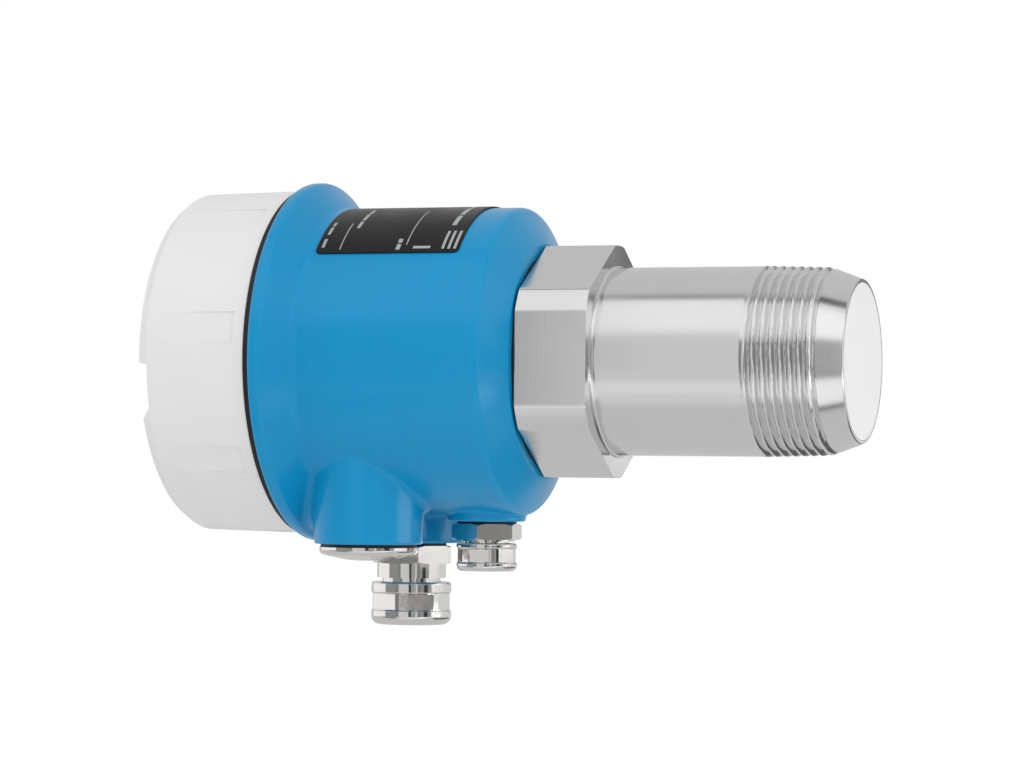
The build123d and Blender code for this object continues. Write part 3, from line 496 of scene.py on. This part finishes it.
def add_piece(name: str, points: np.ndarray, body: str, slot: str, replaces: tuple[str, ...] = (),
              wrap_rows: bool = True, sharp_angle: float = 32.0, ink: str = "") -> bpy.types.Object:
    """Makes a closed piece from a grid of points and lets it ride on a body.

    Where the rows don't wrap, the first and the last row are closed with a fan to their middle.

    Args:
        name: The piece's name.
        points: Grid of shape (rows, columns, 3) in millimetres; columns close into rings.
        body: CAD body that carries the piece.
        slot: The record's material slot, and the finish unless `ink` names another.
        replaces: CAD nodes that the piece stands for.
        wrap_rows: Whether the last row joins the first.
        sharp_angle: Edges that bend more than this, in degrees, stay sharp.
        ink: Finish that is used in place of the slot's own.

    Returns:
        The new object.
    """
    rows, columns = points.shape[:2]
    flat = points.reshape(-1, 3)
    quads = grid_faces(rows, columns, wrap_rows)
    fans = np.empty((0, 3), dtype=int)
    if not wrap_rows:
        middles = np.stack([points[0].mean(axis=0), points[-1].mean(axis=0)])
        ring = np.arange(columns)
        last = ring + (rows - 1) * columns
        fans = np.concatenate([
            np.stack([np.full(columns, len(flat)), ring, np.roll(ring, -1)], axis=1),
            np.stack([np.full(columns, len(flat) + 1), np.roll(last, -1), last], axis=1),
        ])
        flat = np.vstack([flat, middles])
    as_quads = np.vstack([quads, np.column_stack([fans, fans[:, 2:]])])
    if signed_volume(flat, as_quads) < 0:
        quads, fans = quads[:, ::-1], fans[:, ::-1]
    mesh = bpy.data.meshes.new(name)
    mesh.from_pydata((flat * MM).tolist(), [], quads.tolist() + fans.tolist())
    mesh.shade_smooth()
    mesh.set_sharp_from_angle(angle=radians(sharp_angle))
    piece = bpy.data.objects.new(name, mesh)
    bpy.context.scene.collection.objects.link(piece)
    mesh.materials.append(wardrobe.get(ink or slot))
    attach(piece, body)
    if replaces:
        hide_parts(*replaces)
    log.info("made %s: %d points, %d faces", name, len(flat), len(quads) + len(fans))
    return piece


# Sub-assemblies.
@dataclass
class ProcessConnector:
    """Stainless steel connector: hexagon, turned tube, pipe thread and lead cone, bored through."""

    # Hexagon, with the turned chamfer that cuts its corners.
    hex_flats: float = 54.0
    hex_corner_radius: float = 29.45
    hex_chamfer: float = 0.2
    hex_chamfer_length: float = 0.2
    chamfer_steps: int = 4
    collar_step: float = 1.0
    # Tube, with the round where it meets the hexagon.
    tube_radius: float = 23.75
    tube_length: float = 39.1
    root_round: float = 0.7
    # Thread. Its crest tapers from the shoulder at the tube to the lead cone. Shares are of the pitch.
    thread_radius: float = 23.9
    thread_end_radius: float = 23.4
    thread_end_round: float = 0.3
    thread_pitch: float = 2.309
    thread_turns: float = 7.0
    thread_depth: float = 1.2
    thread_run_out: float = 2.9
    crest_share: float = 0.22
    root_share: float = 0.10
    thread_phase: float = 0.5
    fade_lead_share: float = 0.1
    fade_share: float = 0.35
    shoulder_foot: float = 0.9
    shoulder_top: float = 0.2
    shoulder_drop: float = 0.02
    # Lead cone and tip.
    lead_length: float = 8.1
    tip_radius: float = 20.4
    tip_round: float = 0.5
    # Window's seat, bore for the horn and spigot in the housing.
    seat_radius: float = 19.65
    seat_depth: float = 13.4
    bore_radius: float = 17.6
    rear_bore_radius: float = 15.0
    rear_bore_length: float = 6.0
    spigot_radius: float = 22.0
    # Mesh: columns, points in a pitch, how far the fine rows reach past the thread, and support points.
    columns: int = 288
    samples_a_pitch: int = 13
    fine_before: float = 0.5
    fine_after: float = 0.3
    support_gap: float = 0.25
    inner_margin: float = 0.1

    def thread(self, x: np.ndarray, angles: np.ndarray) -> np.ndarray:
        """Depth of the thread's groove, from 0 on the crest to 1 at the root.

        The groove is a V that is flattened at crest and root and runs as a right-hand helix: it moves one
        pitch along X in each turn. It fades in just after the tube and runs out on the lead cone.

        Args:
            x: Places along the sensor axis.
            angles: Angles round it.

        Returns:
            Depth on the grid of both.
        """
        start = -self.lead_length - self.thread_turns * self.thread_pitch
        turns = (x - start) / self.thread_pitch - angles / (2 * pi) + self.thread_phase
        bend = 1 - np.abs(2 * np.mod(turns, 1) - 1)
        groove = np.clip((bend - self.crest_share) / (1 - self.crest_share - self.root_share), 0, 1)
        fade = self.fade_share * self.thread_pitch
        fade_in = smooth_step(x - start, -self.fade_lead_share * self.thread_pitch, fade)
        fade_out = smooth_step(-self.lead_length + self.thread_run_out - x, 0, fade)
        return groove * fade_in * fade_out

    def build(self) -> None:
        """Builds the connector as one closed surface of revolution, cut by the hexagon and the helix.

        Its radius is the least of the turned outline, the hexagon where there is one, and the tapered crest
        less the groove's depth where there is thread.
        """
        back, front = (corner[0] for corner in box_mm("process_connector"))
        ring_back = box_mm("sensor_seal")[1][0]
        thread_end = -self.lead_length
        thread_start = thread_end - self.thread_turns * self.thread_pitch
        hex_face = thread_start - self.tube_length
        chamfer_back = hex_face - self.hex_chamfer_length
        step_place = back + self.rear_bore_length
        chamfer = np.arange(self.chamfer_steps) / self.chamfer_steps
        outline = rounded_outline([
            (front, self.seat_radius), (front, self.tip_radius, self.tip_round),
            (thread_end, self.thread_end_radius, self.thread_end_round),
            (thread_start - self.shoulder_top, self.thread_radius - self.shoulder_drop),
            (thread_start - self.shoulder_foot, self.tube_radius),
            (hex_face, self.tube_radius, self.root_round),
            (hex_face, self.hex_flats / 2 - self.collar_step),
            *((hex_face - self.hex_chamfer_length * share,
               self.hex_corner_radius - self.hex_chamfer * (1 - share)) for share in chamfer),
            (chamfer_back, self.hex_corner_radius), (ring_back, self.hex_corner_radius),
            (ring_back, self.spigot_radius), (back, self.spigot_radius), (back, self.rear_bore_radius),
            (step_place, self.rear_bore_radius), (step_place, self.bore_radius),
            (-self.seat_depth, self.bore_radius), (-self.seat_depth, self.seat_radius),
        ])
        outline = supported(outline, self.support_gap)
        fine_start = thread_start - self.fine_before
        outline = refined(outline, fine_start, thread_end + self.thread_run_out + self.fine_after,
                          self.thread_pitch / self.samples_a_pitch)
        angles = np.linspace(0, 2 * pi, self.columns, endpoint=False)
        x, radius = outline[:, :1], outline[:, 1:]
        outside = radius > self.seat_radius + self.inner_margin
        taper = (self.thread_radius - self.thread_end_radius) / (thread_end - thread_start)
        crest = self.thread_radius - taper * (x - thread_start)
        threaded = crest - self.thread(x, angles[None, :]) * self.thread_depth
        threaded = np.where(outside & (x > fine_start), threaded, radius)
        on_hexagon = (x < hex_face + SLACK) & (x > ring_back - SLACK) & (radius > self.spigot_radius + SLACK)
        hexagon = hexagon_radius(angles, self.hex_flats)[None, :]
        radius = np.where(on_hexagon, np.minimum(radius, hexagon), np.minimum(radius, threaded))
        add_piece("process_connector_turned", around_x(x, radius, angles[None, :]), "root",
                  "connector_steel", replaces=("process_connector",))


@dataclass
class NeckThread:
    """Raised helix on the housing's neck and the one inside the cover that runs between its turns."""

    pitch: float = 3.0
    core_radius: float = 39.4
    crest_radius: float = 40.15
    cover_core_radius: float = 40.6
    cover_crest_radius: float = 39.85
    half_foot: float = 0.72
    half_crest: float = 0.25
    sink: float = 0.2
    end_sink: float = 0.02
    end_gap: float = 1.3
    turns: float = 3.6
    fade_turns: float = 0.15
    steps_a_turn: int = 96
    sharp_angle: float = 25.0

    def ridge(self, start: float, foot: float, crest: float) -> np.ndarray:
        """Four-sided rib along a helix about X that sinks into its wall at both ends.

        Its middle moves one pitch along X in each turn. Its top rises from just inside the wall to the
        crest and goes back again, over a share of a turn at each end.

        Args:
            start: Place along X of the helix's first point.
            foot: Radius of the wall that carries the rib.
            crest: Radius of the rib's top.

        Returns:
            Grid of shape (points along the helix, 4, 3).
        """
        steps = int(self.turns * self.steps_a_turn)
        turn = np.linspace(0, self.turns, steps)
        into_wall = np.sign(foot - crest)
        fall = smooth_step(turn, self.turns - self.fade_turns, self.turns)
        lift = smooth_step(turn, 0, self.fade_turns) * (1 - fall)
        top = foot + (crest - foot) * lift + into_wall * self.end_sink
        root = np.full(steps, foot + into_wall * self.sink)
        middle = start + self.pitch * turn
        x = np.stack([middle - self.half_foot, middle - self.half_crest, middle + self.half_crest,
                      middle + self.half_foot], axis=1)
        radius = np.stack([root, top, top, root], axis=1)
        return around_x(x, radius, (2 * pi * turn)[:, None])

    def build(self) -> None:
        """Builds the neck's rib on the housing and the cover's rib on the cover, half a pitch apart."""
        start = box_mm("housing")[0][0] + self.end_gap
        neck = self.ridge(start, self.core_radius, self.crest_radius)
        cover = self.ridge(start + self.pitch / 2, self.cover_core_radius, self.cover_crest_radius)
        add_piece("neck_thread", neck, "root", "housing_paint", wrap_rows=False,
                  sharp_angle=self.sharp_angle)
        add_piece("cover_thread", cover, "cover", "cover_plastic", wrap_rows=False,
                  sharp_angle=self.sharp_angle)


@dataclass(frozen=True)
class PlateMark:
    """One printed mark.

    It has its middle and its width along X, and ends at two angles from the top, in degrees.
    """

    middle: float
    width: float
    first: float
    last: float


@dataclass
class NamePlate:
    """Curved name plate with plain marks: two fine rules, and short bars where such a plate has words."""

    thickness: float = 0.35
    half_angle: float = 48.2
    right_trim: float = 0.9
    corner: float = 1.4
    corner_points: int = 9
    bevel: float = 0.08
    plate_steps: int = 72
    ink_thickness: float = 0.03
    ink_sink: float = 0.02
    ink_steps: int = 10
    marks: tuple[PlateMark, ...] = (
        # The two rules.
        PlateMark(-128.1, 0.28, 29.5, 46.4), PlateMark(-110.5, 0.28, 17.0, 44.2),
        # Line of bars beside the flange.
        PlateMark(-132.9, 0.75, 28.8, 31.6), PlateMark(-132.9, 0.75, 32.6, 37.6),
        PlateMark(-132.9, 0.75, 40.4, 45.2),
        # Line of bars right of the first rule.
        PlateMark(-125.9, 0.85, 15.0, 19.5), PlateMark(-125.9, 0.85, 20.6, 27.0),
        PlateMark(-125.9, 0.85, 28.1, 33.3),
        # Two short bars and one along the sensor, near the lower edge.
        PlateMark(-112.5, 1.1, 40.8, 43.0), PlateMark(-112.5, 1.1, 43.8, 46.8),
        PlateMark(-106.2, 4.6, 45.0, 46.3),
        # Heading, and three bars below it.
        PlateMark(-100.3, 1.2, 7.0, 12.0), PlateMark(-100.3, 1.2, 13.2, 22.5),
        PlateMark(-100.3, 1.2, 23.7, 32.0),
        PlateMark(-100.5, 0.7, 36.2, 46.6), PlateMark(-98.9, 0.7, 36.2, 46.6),
        PlateMark(-97.3, 0.7, 36.2, 46.6),
    )

    def sheet(self) -> None:
        """Bends the plate round the X axis.

        Near its two straight ends each side steps in by the corner radius less the root of its square minus
        the square of what is left of it, so that the corners are quarter circles.
        """
        low, high = box_mm("name_plate")
        outer, inner = high[2], high[2] - self.thickness
        ends = self.corner * (1 - np.cos(np.linspace(0, pi / 2, self.corner_points)))
        half = outer * radians(self.half_angle)
        # The corners' own rows stand in for the first two and the last two of the even ones.
        between = np.linspace(-half, half, self.plate_steps)[2:-2]
        along = np.sort(np.concatenate([-half + ends, between, half - ends]))[:, None]
        left_over = np.clip(self.corner - (half - np.abs(along)), 0, self.corner)
        inset = self.corner - np.sqrt(self.corner**2 - left_over**2)
        left, right = low[0] + inset, high[0] - self.right_trim - inset
        x = np.hstack([left, left, left + self.bevel, right - self.bevel, right, right])
        edge = outer - self.bevel
        radius = np.array([[inner, edge, outer, outer, edge, inner]])
        add_piece("name_plate_sheet", around_x(x, radius, pi / 2 + along / outer), "root", "plate_print",
                  replaces=("name_plate",), wrap_rows=False)

    def print_mark(self, number: int, mark: PlateMark) -> None:
        """Prints one mark as a thin sheet of ink: a ring sector about the X axis.

        Args:
            number: The mark's number in its name.
            mark: Its place and size.
        """
        surface = box_mm("name_plate")[1][2]
        low, high = surface - self.ink_sink, surface + self.ink_thickness
        left, right = mark.middle - mark.width / 2, mark.middle + mark.width / 2
        from_top = np.radians(np.linspace(mark.first, mark.last, self.ink_steps))[:, None]
        grid = around_x(np.array([[left, right, right, left]]), np.array([[low, low, high, high]]),
                        pi / 2 + from_top)
        add_piece(f"plate_mark_{number:02d}", grid, "root", "plate_print", wrap_rows=False, ink="plate_ink")

    def build(self) -> None:
        """Bends the plate and prints its marks on it."""
        self.sheet()
        for number, mark in enumerate(self.marks, start=1):
            self.print_mark(number, mark)


@dataclass(frozen=True)
class Card:
    """Long grey card parallel to the sensor.

    It runs from one angle to another, in degrees: 0 is straight in front of the sensor's side and 90 above
    it. Its level is how light it is, left and right are its ends along X, and reach is its distance from
    the sensor axis.
    """

    name: str
    start: float
    end: float
    level: float
    left: float = -1300.0
    right: float = 1100.0
    reach: float = 700.0


@dataclass(frozen=True)
class Wall:
    """Flat upright grey card before the window, between two places along Y and two heights."""

    name: str
    front: float
    back: float
    low: float
    high: float
    level: float


@dataclass(frozen=True)
class Lamp:
    """Square soft lamp: where it stands, the side of its face, and its strength in watts."""

    name: str
    place: tuple[float, float, float]
    size: float
    power: float


CARDS: tuple[Card, ...] = (
    # In front, from left to right: what the cover, the body, the hexagon and the tube look at.
    Card("front_card_left", -24, 26, 0.30, right=-450),
    Card("front_card_body", -24, 26, 0.24, left=-450, right=-330),
    Card("front_card_hexagon", -24, 31, 0.56, left=-330, right=-298),
    Card("front_edge_hexagon", 31, 78, 0.90, left=-330, right=-298),
    Card("front_card_tube", -24, 31, 0.71, left=-298, right=-180),
    Card("front_edge_tube", 31, 37, 0.88, left=-298, right=-180),
    # Below these: the pale band low on the tube, and its soft lower edge.
    Card("low_edge_tube", -38, -24, 0.84, left=-200, right=-60),
    Card("low_fade_tube", -52, -38, 0.74, left=-200, right=-55, reach=190),
    # In front, further right: what the thread, the lead cone and the glands look at.
    Card("front_card_middle", -24, 26, 0.68, left=-180, right=40),
    Card("front_card_dark", -24, 30, 0.06, left=40, right=140),
    Card("front_card_right", -24, 27, 0.38, left=140, right=350),
    Card("front_card_far", -24, 27, 0.75, left=350, right=440),
    Card("front_card_end", -24, 27, 0.25, left=440, right=700),
    # The bright band on the lead cone, and dark lines that the tube and the cone show above and below.
    Card("cone_light", 31, 66, 1.15, left=140, right=700),
    Card("top_line", 78, 86, 0.30, right=140),
    Card("top_line_right", 76, 86, 0.02, left=140, right=700),
    Card("low_line_right", -64, -58, 0.02, left=40, right=240),
    # Behind: even grey for all that faces up, and a dark part for the hexagon's front face.
    Card("back_card", 86, 181, 0.63, right=40),
    Card("back_card_right", 86, 158, 0.63, left=40),
    Card("rear_card", 158, 181, 0.12, left=40, right=215),
    Card("rear_card_right", 158, 181, 0.60, left=215),
    # Just above the floor: what everything that faces down looks at.
    Card("floor_card_left", -46, -24, 0.30, right=-200),
    Card("floor_card", -178, -46, 0.62, right=40),
    Card("floor_card_right", -96, -64, 0.62, left=40),
    Card("rear_floor", -166, -96, 0.12, left=40, right=215),
    Card("rear_floor_right", -166, -96, 0.60, left=215),
    Card("rear_low", -178, -166, 0.75, left=40),
)

WALLS: tuple[Wall, ...] = (
    # A dark strip between two greys, for a dark bar on the glands' nuts.
    Wall("side_card", -700, -512, -150, 370, 0.34),
    Wall("side_strip", -512, -290, -150, 370, 0.04),
    Wall("side_gap", -290, -110, -150, 370, 0.34),
    # The light edges of the shoulder and the bosses, and a softer part for the glands' flats.
    Wall("side_light", -110, 420, 60, 400, 1.3),
    Wall("side_light_middle", -110, 420, -64, 60, 1.2),
    Wall("side_light_flats", -110, 420, -110, -64, 0.82),
    Wall("side_light_low", -110, 420, -150, -110, 6.4),
    Wall("side_end", 420, 1100, -150, 400, 0.84),
)

LAMPS: tuple[Lamp, ...] = (
    Lamp("key_lamp", (-400, -900, 900), 700, 2.8),
    Lamp("side_lamp", (900, -500, 300), 600, 2.2),
)


@dataclass
class Studio:
    """Camera, pale floor, white surroundings, grey cards for the metal to reflect, and soft lamps."""

    # Camera, as fitted to the photograph. Angles are in degrees, azimuth 0 looks along Y.
    target: tuple[float, float, float] = (-91.97, 0.11, -5.68)
    distance: float = 942.5
    azimuth: float = 19.40
    elevation: float = -1.36
    roll: float = 0.55
    focal_length: float = 129.72
    sensor_width: float = 36.0
    nearest: float = 10.0
    farthest: float = 20000.0
    # Light of the surroundings on the object, where white is 1.
    sky_level: float = 0.81
    # Floor: most of what the camera sees of it is a glow a little above white, the rest takes the shadow.
    floor_height: float = -160.0
    floor_reach: float = 6000.0
    floor_colour: str = "#f4f4f4"
    floor_glow: float = 1.1
    floor_glow_share: float = 0.8
    # Cards: how far above the floor they end, the points of their curve, and the walls' place along X.
    card_clearance: float = 4.0
    card_points: int = 24
    wall_place: float = 700.0

    def camera(self) -> None:
        """Places the camera on a sphere round the target and turns it about its own axis."""
        turn, rise = radians(self.azimuth), radians(self.elevation)
        towards = Vector((sin(turn) * cos(rise), -cos(turn) * cos(rise), sin(rise)))
        place = Vector(self.target) * MM + towards * self.distance * MM
        facing = towards.to_track_quat("Z", "Y").to_matrix() @ Matrix.Rotation(radians(self.roll), 3, "Z")
        data = bpy.data.cameras.new("camera")
        data.lens, data.sensor_width = self.focal_length, self.sensor_width
        data.clip_start, data.clip_end = self.nearest * MM, self.farthest * MM
        camera = bpy.data.objects.new("camera", data)
        camera.matrix_world = Matrix.Translation(place) @ facing.to_4x4()
        bpy.context.scene.collection.objects.link(camera)
        bpy.context.scene.camera = camera

    def world(self) -> None:
        """White wherever the camera, metal or glass looks, and an even soft light on everything else."""
        world = bpy.data.worlds.new("surroundings")
        bpy.context.scene.world = world
        world.use_nodes = True
        tree = world.node_tree
        tree.nodes.clear()
        light = add_node(tree, "ShaderNodeBackground", {"Color": WHITE, "Strength": self.sky_level})
        white = add_node(tree, "ShaderNodeBackground", {"Color": WHITE, "Strength": 1.0})
        mix = add_node(tree, "ShaderNodeMixShader", {
            0: seen_directly(tree), 1: light.outputs[0], 2: white.outputs[0]})
        add_node(tree, "ShaderNodeOutputWorld", {"Surface": mix.outputs[0]})

    def stand(self, name: str, points: list[tuple[float, ...]], faces: list[tuple[int, ...]],
              material: bpy.types.Material) -> bpy.types.Object:
        """Adds an object of the studio, which isn't part of the receiver.

        Args:
            name: Its name.
            points: Its corners in metres.
            faces: Its faces.
            material: Its material.

        Returns:
            The new object.
        """
        mesh = bpy.data.meshes.new(name)
        mesh.from_pydata(points, [], faces)
        mesh.materials.append(material)
        thing = bpy.data.objects.new(name, mesh)
        bpy.context.scene.collection.objects.link(thing)
        return thing

    def floor(self) -> None:
        """Pale floor that stays white to the camera and still takes the object's soft shadow."""
        made, tree = blank_material("pale_floor")
        share = add_node(tree, "ShaderNodeMath", {0: seen_directly(tree), 1: self.floor_glow_share},
                         operation="MULTIPLY")
        matt = add_node(tree, "ShaderNodeBsdfDiffuse", {"Color": linear(self.floor_colour)})
        glow = add_node(tree, "ShaderNodeEmission", {"Color": WHITE, "Strength": self.floor_glow})
        mix = add_node(tree, "ShaderNodeMixShader", {
            0: share.outputs[0], 1: matt.outputs[0], 2: glow.outputs[0]})
        add_node(tree, "ShaderNodeOutputMaterial", {"Surface": mix.outputs[0]})
        edge, z = self.floor_reach * MM, self.floor_height * MM
        corners = [(-edge, -edge, z), (edge, -edge, z), (edge, edge, z), (-edge, edge, z)]
        self.stand("floor", corners, [(0, 1, 2, 3)], made)

    def reflector(self, name: str, points: np.ndarray, quads: np.ndarray, level: float) -> None:
        """Adds a card that only reflections see, as even grey.

        Args:
            name: The card's name.
            points: Its corners.
            quads: Its faces.
            level: How light it is, where white is 1.
        """
        made, tree = blank_material(name)
        grey = add_node(tree, "ShaderNodeEmission", {"Color": (level, level, level, 1), "Strength": 1.0})
        add_node(tree, "ShaderNodeOutputMaterial", {"Surface": grey.outputs[0]})
        thing = self.stand(name, (points * MM).tolist(), quads.tolist(), made)
        thing.visible_camera = False
        thing.visible_shadow = False
        thing.visible_diffuse = False

    def hang_card(self, card: Card) -> None:
        """Builds a card as part of a cylinder about X, cut off flat just above the floor.

        Where it falls, a point's distance from the axis is its own reach or the way to that cut, whichever
        is less.

        Args:
            card: Its place and level.
        """
        angles = np.radians(np.linspace(card.start, card.end, self.card_points))
        fall = np.maximum(-np.sin(angles), SLACK)
        reached = np.minimum(card.reach, -(self.floor_height + self.card_clearance) / fall)
        ring = np.stack([-np.cos(angles) * reached, np.sin(angles) * reached], axis=1)
        x = np.repeat([card.left, card.right], len(angles))
        points = np.column_stack([x, np.tile(ring, (2, 1))])
        first = np.arange(len(angles) - 1)
        quads = np.stack([first, first + 1, first + 1 + len(angles), first + len(angles)], axis=1)
        self.reflector(card.name, points, quads, card.level)

    def hang_wall(self, wall: Wall) -> None:
        """Builds a wall as one upright rectangle.

        Args:
            wall: Its place and level.
        """
        y = [wall.front, wall.back, wall.back, wall.front]
        z = [wall.low, wall.low, wall.high, wall.high]
        points = np.column_stack([np.full(4, self.wall_place), y, z])
        self.reflector(wall.name, points, np.array([[0, 1, 2, 3]]), wall.level)

    def hang_lamp(self, lamp: Lamp) -> None:
        """Aims a lamp at the middle of the part. Metal doesn't show it.

        Args:
            lamp: Its place, size and strength.
        """
        data = bpy.data.lights.new(lamp.name, "AREA")
        data.energy, data.size = lamp.power, lamp.size * MM
        thing = bpy.data.objects.new(lamp.name, data)
        place = Vector(lamp.place)
        facing = (place - Vector(self.target)).to_track_quat("Z", "Y").to_matrix()
        thing.matrix_world = Matrix.Translation(place * MM) @ facing.to_4x4()
        thing.visible_glossy = False
        bpy.context.scene.collection.objects.link(thing)

    def build(self) -> None:
        """Sets up the whole studio."""
        self.camera()
        self.world()
        self.floor()
        for card in CARDS:
            self.hang_card(card)
        for wall in WALLS:
            self.hang_wall(wall)
        for lamp in LAMPS:
            self.hang_lamp(lamp)
        bpy.context.scene.view_settings.view_transform = "Standard"


def main() -> None:
    logging.basicConfig(level=logging.INFO, format="%(name)s %(message)s")
    wardrobe.dress_cad()
    for assembly in (ProcessConnector(), NeckThread(), NamePlate(), Studio()):
        assembly.build()
        log.info("built %s", type(assembly).__name__)


if __name__ == "__main__":
    main()
